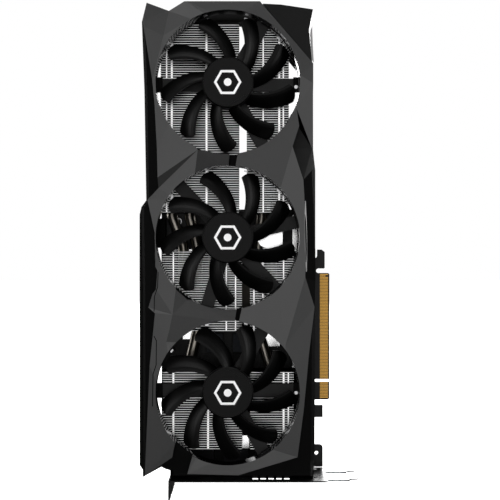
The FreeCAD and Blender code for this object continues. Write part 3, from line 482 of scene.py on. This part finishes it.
# %% Tray
tray_sheet = metal("tray_aluminium", "#fbfbfb", 0.26, 1.0, 0.003, 0.03)
tray_tree = tray_sheet.node_tree
place = add_node(tray_tree, "ShaderNodeNewGeometry")
height = add_node(tray_tree, "ShaderNodeSeparateXYZ", None,
                  {"Vector": place.outputs["Position"]})
painted_shade_mask = None
for low_z, high_z in fin_zones:
    middle = add_node(tray_tree, "ShaderNodeMath", {1: (low_z + high_z) / 2},
                      {0: height.outputs["Z"]}, operation="SUBTRACT")
    away = add_node(tray_tree, "ShaderNodeMath", None, {0: middle.outputs[0]},
                    operation="ABSOLUTE")
    under = add_node(tray_tree, "ShaderNodeMath", {1: (high_z - low_z) / 2 + 0.4 * MM},
                     {0: away.outputs[0]}, operation="LESS_THAN")
    if painted_shade_mask is None:
        painted_shade_mask = under
    else:
        painted_shade_mask = add_node(tray_tree, "ShaderNodeMath", None,
                           {0: painted_shade_mask.outputs[0], 1: under.outputs[0]}, operation="MAXIMUM")
# painted shade: near black under the fin stacks, the bright sheet elsewhere
tone = add_node(tray_tree, "ShaderNodeMix", {6: linear("#fbfbfb"), 7: linear("#141414")},
                {0: painted_shade_mask.outputs[0]}, data_type="RGBA")
tray_tree.links.new(tone.outputs[2], tray_tree.nodes["Principled BSDF"].inputs["Base Color"])
dress(tray_sheet, "base_tray")

# %% [markdown]
# The heat pipes and the cold plate are nickel-plated copper. The plating is
# smooth and slightly warm. The plate lies deep under the fins, and its shade is
# painted in as a darker nickel colour.
# Screws and shafts are zinc-plated steel, and the display sockets have black
# nickel shells.

# %% Pipes, plates and screws
nickel = metal("nickel_plate", "#8a857d", 0.3, 2.0, 0.001, 0.02)
dress(nickel, "heat_pipes")
# the same plating with its deep shade painted in: only a faint warm gleam between the fins
plate_nickel = metal("cold_plate_nickel_painted_shade", "#2c2a27", 0.4, 2.0, 0.003)
dress(plate_nickel, "cold_plate", "capacitors")
# zinc on turned steel: small, cool, bright dots
steel = metal("plated_steel", "#c4c4c5", 0.32, 0.6, 0.003)
dress(steel, "fan_screws", "spring_screws", "backplate_spacers", *nodes_ending("_shaft"))
# a dark mirror that tells the socket shells from the plastic beside them
black_nickel = metal("black_nickel", "#2c2c2e", 0.35, 0.6, 0.003)
dress(black_nickel, "socket_hdmi", "socket_dp_one", "socket_dp_two", "socket_dp_three")

# %% [markdown]
# Inside each fan, the bearing is sintered bronze, whose pores make it matt,
# and the coils are copper wire under clear enamel. The edge contacts and the
# power pins are hard gold over nickel: thin, smooth and deep in colour.

# %% Fan motors and contacts
# pressed powder: a dull yellow-brown with no clear highlight
bronze = metal("sintered_bronze", "#9a8050", 0.5, 0.3, 0.010)
dress(bronze, *nodes_ending("_bearing"))
# round turns of wire, too fine to draw one by one: a warm, ribbed glow
copper = metal("enamelled_copper", "#a0562e", 0.3, 0.3, 0.020)
dress(copper, *nodes_ending("_stator"))
# the only strong colour on the card, as a clear yellow row
gold = metal("hard_gold", "#a8813f", 0.3, 0.8, 0.002)
dress(gold, "contacts_front", "contacts_back", "power_pins")

# %% [markdown]
# ## Bracket and backplate
#
# The bracket is stamped steel with a black oxide skin. The upper faces of its
# two prongs are drawn as bare, bright steel, and the change runs over 3 mm at
# the prong's root.
# The backplate is painted, with a faint orange-peel grain.

# %% Bracket and backplate
PRONG_ROOT = 47.5 * MM
BARE_LENGTH = 3 * MM

# a skin grown in the steel: black, with the softness of the sheet below it
black_oxide = moulded("black_oxide", "#030303", 0.4, 0.5, 0.004, 0.2)
dress(black_oxide, "io_bracket", "backplate_screws", "retention_cross")
# bare steel at the tip, black toward the root: one bright stroke at the end
bare_top = metal("bracket_bare_top", "#d8d8d8", 0.3, 0.5, 0.003)
bare_top_tree = bare_top.node_tree
bare_top_shader = bare_top_tree.nodes["Principled BSDF"]
place = add_node(bare_top_tree, "ShaderNodeNewGeometry")
along_x = add_node(bare_top_tree, "ShaderNodeSeparateXYZ", None,
                   {"Vector": place.outputs["Position"]})
bare = add_node(bare_top_tree, "ShaderNodeMapRange",
                {"From Min": PRONG_ROOT, "From Max": PRONG_ROOT + BARE_LENGTH},
                {"Value": along_x.outputs["X"]})
tone = add_node(bare_top_tree, "ShaderNodeMix", {6: linear("#030303"), 7: linear("#e4e4e4")},
                {0: bare.outputs[0]}, data_type="RGBA")
bare_top_tree.links.new(tone.outputs[2], bare_top_shader.inputs["Base Color"])
bare_top_tree.links.new(bare.outputs[0], bare_top_shader.inputs["Metallic"])
repaint("io_bracket", bare_top, lambda centre, normal: normal.z > 0.9)

# sprayed and baked: an even dark grey that softens every light
paint = moulded("black_paint", "#1c1c1c", 0.45, 0.5, 0.008, 0.4)
dress(paint, "backplate")

# %% [markdown]
# ## Board and chips
#
# The board is glass-fibre laminate under a matt black solder mask. Chips are
# moulded epoxy, inductor cores and the fans' ring magnets are pressed
# ferrite, the pads between chips and plate are soft silicone, and the fan
# leads run in a woven sleeve.

# %% Board and chips
# a thin cured film over glass cloth: near black, with a low satin shine
mask = moulded("solder_mask", "#080808", 0.4, 0.8, 0.006, 0.18)
dress(mask, "board")
# glass-filled and dull: small charcoal blocks
epoxy = moulded("moulded_epoxy", "#121212", 0.6, 0.4, 0.008, 0.3)
dress(epoxy, "memory_chips", "power_stages", "gpu_package", "gpu_die")
# pressed powder again, not metallic: grey-black and quite matt
ferrite = moulded("ferrite", "#1c1c1d", 0.7, 0.4, 0.015, 0.3)
dress(ferrite, "inductors", *nodes_ending("_magnet"))
# soft and slightly blue-grey, with no shine at all
silicone = moulded("silicone_pad", "#3c3f44", 0.8, 0.5, 0.015, 0.3)
dress(silicone, "memory_pads")
# woven nylon yarn: black, broken up by its own weave
sleeve = moulded("wire_sleeve", "#060606", 0.5, 0.5, 0.008, 0.3)
dress(sleeve, *nodes_ending("_lead"))

# %% [markdown]
# ## Small pieces
#
# The details that follow are small meshes built from rows of points. One
# function turns such a build into a piece: it makes the object, lets it ride
# on a body of the card, and gives it one of the materials made above.

# %% A piece from a build
def mesh_piece(name, build, material, body, place=(0, 0, 0)):
    """A mesh made by build(bm), placed, carried by a body and given a material."""
    bm = bmesh.new()
    build(bm)
    bmesh.ops.recalc_face_normals(bm, faces=bm.faces)
    mesh = bpy.data.meshes.new(name)
    bm.to_mesh(mesh)
    bm.free()
    mesh.materials.append(material)
    piece = bpy.data.objects.new(name, mesh)
    scene.collection.objects.link(piece)
    piece.location = place
    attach(piece, body)
    print(name, "rides on", body)
    return piece


def circle_points(radius, sides, turn=0.0):
    """Points (x, z) round a circle."""
    return [(radius * math.cos(turn + 2 * math.pi * i / sides),
             radius * math.sin(turn + 2 * math.pi * i / sides)) for i in range(sides)]


def plate(bm, outline, back_y, front_y):
    """A flat plate with an outline in the XZ plane, between two depths."""
    back = [bm.verts.new((x, back_y, z)) for x, z in outline]
    front = [bm.verts.new((x, front_y, z)) for x, z in outline]
    bm.faces.new(front)
    bm.faces.new(back[::-1])
    for i in range(len(outline)):
        j = (i + 1) % len(outline)
        bm.faces.new((back[i], back[j], front[j], front[i]))


def flat_ring(bm, outer, inner, sides, depth, centre=(0.0, 0.0)):
    """A thin ring in the XZ plane, from y = 0 forward by its depth."""
    rows = [[bm.verts.new((centre[0] + x, y, centre[1] + z))
             for x, z in circle_points(radius, sides)]
            for y in (0.0, -depth) for radius in (outer, inner)]
    back_out, back_in, front_out, front_in = rows
    for i in range(sides):
        j = (i + 1) % sides
        bm.faces.new((front_out[i], front_out[j], front_in[j], front_in[i]))
        bm.faces.new((back_out[j], back_out[i], back_in[i], back_in[j]))
        bm.faces.new((back_out[i], back_out[j], front_out[j], front_out[i]))
        bm.faces.new((back_in[j], back_in[i], front_in[i], front_in[j]))


print("mesh makers ready")

# %% [markdown]
# ## Hub marks
#
# The real hubs carry a white mark printed on the film. Here it is a plain
# hexagon ring with a dot, a print 0.08 mm thick that turns with its fan.

# %% Hub marks
INK_DEPTH = 0.08 * MM

# screen-printed ink: flat, opaque white, the lightest spot on the face
ink = moulded("white_ink", "#fdfdfd", 0.6, 0.4, 0.003)


def hub_mark(bm):
    flat_ring(bm, 8.6 * MM, 6.9 * MM, 6, INK_DEPTH)
    plate(bm, circle_points(2.4 * MM, 32), 0.0, -INK_DEPTH)


for fan in FANS:
    x, z = FAN_AXES[fan]
    mesh_piece("hub_mark_" + fan, hub_mark, ink, "fan_" + fan,
               (x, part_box("fan_%s_badge" % fan)[0].y, z))

# %% [markdown]
# ## Opening trims
#
# On the side toward the edge connector, each opening narrows slightly toward
# the fins. The polished lip is a thin strip of a cone and picks up a bright
# crescent where it faces a light.

# %% Opening trims
TRIM_ARC = math.radians(124)
TRIM_STEPS = 64
TRIM_WALL = 0.15 * MM
TRIM_FRONT = (RING - 0.35 * MM, -33.0 * MM)   # radius and y of the front rim
TRIM_BACK = (RING - 0.9 * MM, -28.9 * MM)     # and of the back rim


def cone_lip(bm):
    """A thin cone-shaped lip on the +X side of an opening, TRIM_ARC wide."""
    angles = [TRIM_ARC * (i / TRIM_STEPS - 0.5) for i in range(TRIM_STEPS + 1)]
    rims = (TRIM_FRONT, TRIM_BACK, (TRIM_BACK[0] + TRIM_WALL, TRIM_BACK[1]),
            (TRIM_FRONT[0] + TRIM_WALL, TRIM_FRONT[1]))
    rows = [[bm.verts.new((r * math.cos(a), y, r * math.sin(a))) for a in angles]
            for r, y in rims]
    for a, b in zip(rows, rows[1:] + rows[:1]):
        for i in range(TRIM_STEPS):
            bm.faces.new((a[i], a[i + 1], b[i + 1], b[i]))
    for end in (0, TRIM_STEPS):
        bm.faces.new([row[end] for row in rows])


for fan in FANS:
    x, z = FAN_AXES[fan]
    trim = mesh_piece("opening_trim_" + fan, cone_lip, gloss_abs, "card",
                      (x, 0, z))
    for polygon in trim.data.polygons:
        polygon.use_smooth = True

# %% [markdown]
# ## Arm clips and glint catches
#
# The ends of the level arms sit in black clips, with one bright screw at the
# right. Along the upper half of each opening, four small steel catches hold
# the fin stack to the ring; they stand where bright glints show, and their
# glints are painted glints. All are blocks with chamfered corners, turned to
# point at the fan's axis.

# %% Arm clips and catches
ARM_FRONT = -28.5 * MM
ARM_ENDS = {"top": (180, 0), "middle": (), "bottom": (180, 0)}
CLIP_SIZE = (3.4 * MM, 0.9 * MM, 9.6 * MM)
CLIP_RADIUS = RING - 1.9 * MM
GLINT_CATCH_ANGLES = (145, 108, 75, 43)
GLINT_CATCH_SIZE = (1.0 * MM, 0.6 * MM, 2.2 * MM)
GLINT_CATCH_RADIUS = RING - 1.4 * MM
GLINT_CATCH_Y = -28.2 * MM


def block(bm, size, radius, y, angle):
    """A block at a radius and an angle, its corners cut by a small chamfer."""
    sx, sy, sz = (v / 2 for v in size)
    c = min(sx, sy, sz) * 0.3
    corners = ((-sx + c, -sz), (sx - c, -sz), (sx, -sz + c), (sx, sz - c), (sx - c, sz),
               (-sx + c, sz), (-sx, sz - c), (-sx, -sz + c))
    outline = [((radius + px) * math.cos(angle) - pz * math.sin(angle),
                (radius + px) * math.sin(angle) + pz * math.cos(angle)) for px, pz in corners]
    plate(bm, outline, y + sy, y - sy)


for fan in FANS:
    x, z = FAN_AXES[fan]
    for degrees in ARM_ENDS[fan]:
        mesh_piece("arm_clip_%s_%d" % (fan, degrees), lambda bm: block(
            bm, CLIP_SIZE, CLIP_RADIUS, ARM_FRONT - 0.5 * MM, math.radians(degrees)),
            frame_abs, "card", (x, 0, z))
    # painted glints: small bright steel blocks on the rims
    for degrees in GLINT_CATCH_ANGLES:
        mesh_piece("glint_catch_%s_%d" % (fan, degrees), lambda bm: block(
            bm, GLINT_CATCH_SIZE, GLINT_CATCH_RADIUS, GLINT_CATCH_Y, math.radians(degrees)),
            steel, "card", (x, 0, z))
    if 0 in ARM_ENDS[fan]:
        mesh_piece("arm_screw_" + fan, lambda bm: plate(
            bm, circle_points(1.1 * MM, 24), 0.0, -0.5 * MM), steel, "card",
            (x + CLIP_RADIUS, ARM_FRONT - 0.95 * MM, z - 1.4 * MM))

# %% [markdown]
# ## Screw holes of the board
#
# Each hole in the board has a thin plated ring. The one beside the bottom fan
# holds a screw, whose polished end shows as a small bright dot.

# %% Hole rings and screw end
HOLES_MM = [(-52.0, 14.0), (38.5, 24.0), (38.0, 158.0), (-46.5, 164.5)]
SCREW_END_MM = (-50.6, 79.0)

# a buffed sheet with hardly any grain: a clear mirror of the front light
bright_sheet = metal("polished_aluminium", "#fbfbfb", 0.22, 1.0, 0.001, 0.02)


def hole_rings(bm):
    for x, z in HOLES_MM:
        flat_ring(bm, 2.4 * MM, 1.65 * MM, 32, 0.06 * MM, (x * MM, z * MM))


mesh_piece("hole_rings", hole_rings, steel, "card")
mesh_piece("screw_end", lambda bm: plate(bm, circle_points(1.1 * MM, 24), 0.0, -0.4 * MM),
           bright_sheet, "card", (SCREW_END_MM[0] * MM, 0, SCREW_END_MM[1] * MM))

# %% [markdown]
# ## Bright plates under the fans
#
# Two polished aluminium plates show between the blades: a lip of the base
# below the lowest fins, and a heat spreader with a rounded corner beside the
# middle hub.

# %% Bright plates
def in_metres(points):
    """Points in millimetres to points in metres."""
    return [(x * MM, z * MM) for x, z in points]


BASE_LIP = [(-4.4, 15.9), (0.6, 15.9), (0.6, 24.2), (-4.4, 24.2)]
HEAT_SPREADER = [(12.4, 146.4), (22.4, 147.6), (22.4, 160.4), (9.6, 160.4), (6.8, 156.0),
                 (6.2, 151.4), (8.2, 148.4)]

mesh_piece("base_lip", lambda bm: plate(bm, in_metres(BASE_LIP), -9.6 * MM, -10.2 * MM),
           bright_sheet, "card")
mesh_piece("heat_spreader", lambda bm: plate(
    bm, in_metres(HEAT_SPREADER), -12.2 * MM, -12.8 * MM), bright_sheet, "card")

# %% [markdown]
# ## Lines on the panels
#
# Two thin stepped grooves run down the left panel, a few tenths deep and
# painted black inside as shade, and a painted highlight shows as a light line
# on the right one.
# All three lie on sloping facets. Cutting them would change the CAD mesh, so
# each is a narrow strip instead, dropped onto the panel by casting a ray from
# the front at every step, and sunk a little into it.

# %% Strips that follow a panel
def panel_surface(name):
    """A search tree over a CAD node's faces, in the frame's coordinates."""
    piece = nodes[name]
    points = [piece.matrix_world @ vertex.co for vertex in piece.data.vertices]
    return BVHTree.FromPolygons(points, [tuple(p.vertices) for p in piece.data.polygons])


def drop(panel, x, z):
    """The point of the panel's front that lies behind x and z, or None."""
    return panel.ray_cast(Vector((x, -0.2, z)), Vector((0, 1, 0)))[0]


def strip(bm, pairs, proud, sunk):
    """A strip through pairs of points, from proud of the panel to sunk in it, open-ended."""
    rows = [[(bm.verts.new((p.x, p.y - proud, p.z)), bm.verts.new((p.x, p.y + sunk, p.z)))
             for p in pair] for pair in pairs]
    for (a, b), (c, d) in zip(rows, rows[1:]):
        bm.faces.new((a[0], b[0], d[0], c[0]))
        bm.faces.new((b[0], b[1], d[1], d[0]))
        bm.faces.new((a[1], a[0], c[0], c[1]))
        bm.faces.new((b[1], a[1], c[1], d[1]))


left_surface = panel_surface("face_panel_left")
right_surface = panel_surface("face_panel_right")
print("left panel at x -57, z 80:", drop(left_surface, -57 * MM, 80 * MM))

# %% [markdown]
# Each groove is a chain of straight runs with a step near either end. It is
# walked 1 mm at a time, and the two sides of the strip are dropped onto the
# facets on their own, so that the strip leans with them.

# %% Grooves of the left panel
GROOVE_WIDTH = 0.5 * MM
GROOVE_STEP = 1.0 * MM
GROOVES_MM = [
    [(-57.4, 134.0), (-55.9, 131.8), (-56.2, 122.4), (-58.3, 116.4), (-58.9, 97.0)],
    [(-58.6, 92.0), (-57.0, 89.0), (-57.2, 74.0), (-59.2, 68.0), (-59.6, 48.0)],
]


def groove(bm, points):
    pairs = []
    for (x0, z0), (x1, z1) in zip(points, points[1:]):
        steps = max(2, int(math.hypot(x1 - x0, z1 - z0) / GROOVE_STEP))
        across = Vector((z1 - z0, x0 - x1)).normalized() * GROOVE_WIDTH / 2
        for k in range(steps + 1):
            f = k / steps
            x, z = x0 + (x1 - x0) * f, z0 + (z1 - z0) * f
            pair = [drop(left_surface, x - across.x, z - across.y),
                    drop(left_surface, x + across.x, z + across.y)]
            if None not in pair:
                pairs.append(pair)
    strip(bm, pairs, 0.04 * MM, 0.2 * MM)


# painted shade: the grooves are strips in the black panel tone
for number, points in enumerate(GROOVES_MM, start=1):
    mesh_piece("panel_groove_%d" % number, lambda bm: groove(bm, in_metres(points)),
               panel_shade_black, "card")

# %% [markdown]
# The light line of the right panel is a painted highlight. It is widest in its
# middle and runs out at both ends, the way a crease between two facets does.

# %% Light edge of the right panel
EDGE_TOP, EDGE_LOW = in_metres([(35.6, 176.0), (36.2, 132.0)])
EDGE_WIDTH = 1.3 * MM
EDGE_TIP = 0.1 * MM
EDGE_STEPS = 24

# painted highlight: a light grey, smoother ABS strip that draws a crisp line
edge_highlight = moulded("panel_abs_painted_highlight_edge", "#8a8a8a", 0.3, 0.6, 0.003)


def light_edge(bm):
    pairs = []
    for k in range(EDGE_STEPS + 1):
        f = k / EDGE_STEPS
        x = EDGE_TOP[0] + (EDGE_LOW[0] - EDGE_TOP[0]) * f
        z = EDGE_TOP[1] + (EDGE_LOW[1] - EDGE_TOP[1]) * f
        half = EDGE_WIDTH / 2 * math.sin(math.pi * (0.08 + 0.84 * f)) + EDGE_TIP
        pair = [drop(right_surface, x - half, z), drop(right_surface, x + half, z)]
        if None not in pair:
            pairs.append(pair)
    strip(bm, pairs, 0.05 * MM, 0.15 * MM)


mesh_piece("panel_edge_right", light_edge, edge_highlight, "card")

# %% [markdown]
# The corner piece at the tail has a lit side that shows as a narrow grey
# wedge. That light is painted: a thin light grey plate of that outline stands
# just beside it.

# %% Light edge of the corner piece
TAIL_EDGE = [(39.0, 284.3), (41.2, 289.6), (41.7, 277.3), (42.3, 266.3), (40.2, 269.5)]

# painted light: the same smooth ABS as the corner piece, a little lighter still
tail_edge = moulded("tail_abs_painted_light_edge", "#a8a8a8", 0.3, 0.6, 0.003)
mesh_piece("tail_edge_right", lambda bm: plate(
    bm, in_metres(TAIL_EDGE), -18.5 * MM, -19.0 * MM), tail_edge, "card")
